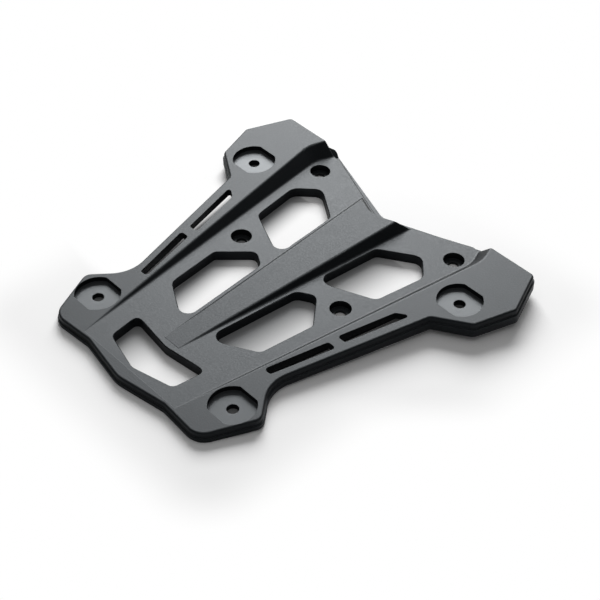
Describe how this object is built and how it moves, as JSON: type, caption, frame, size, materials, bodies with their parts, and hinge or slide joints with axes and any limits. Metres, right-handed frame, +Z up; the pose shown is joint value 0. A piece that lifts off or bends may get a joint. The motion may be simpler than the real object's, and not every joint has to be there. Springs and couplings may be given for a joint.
{
  "type": "top case bracket",
  "caption": "Flat carrier plate for a motorcycle top case: stepped rim, sunk centre panel with windows, raised strip, slotted rails and round cups in the corners.",
  "frame": {"origin": "in the flat mounting face on the underside, midway between the four counterbored rack screws", "axes": "+Z up, out of the panel and square to the mounting face; +Y to the rear of the vehicle, where the wings and the notch are; +X to the right-hand wing seen from behind the nose, looking to +Y"},
  "size_m": [0.3176, 0.3152, 0.0202],
  "materials": {
    "bracket_plate": "fine-grained satin black coat on cast and milled aluminium"
  },
  "bodies": {
    "root": {"bracket_plate": "bracket_plate"}
  },
  "joints": []
}
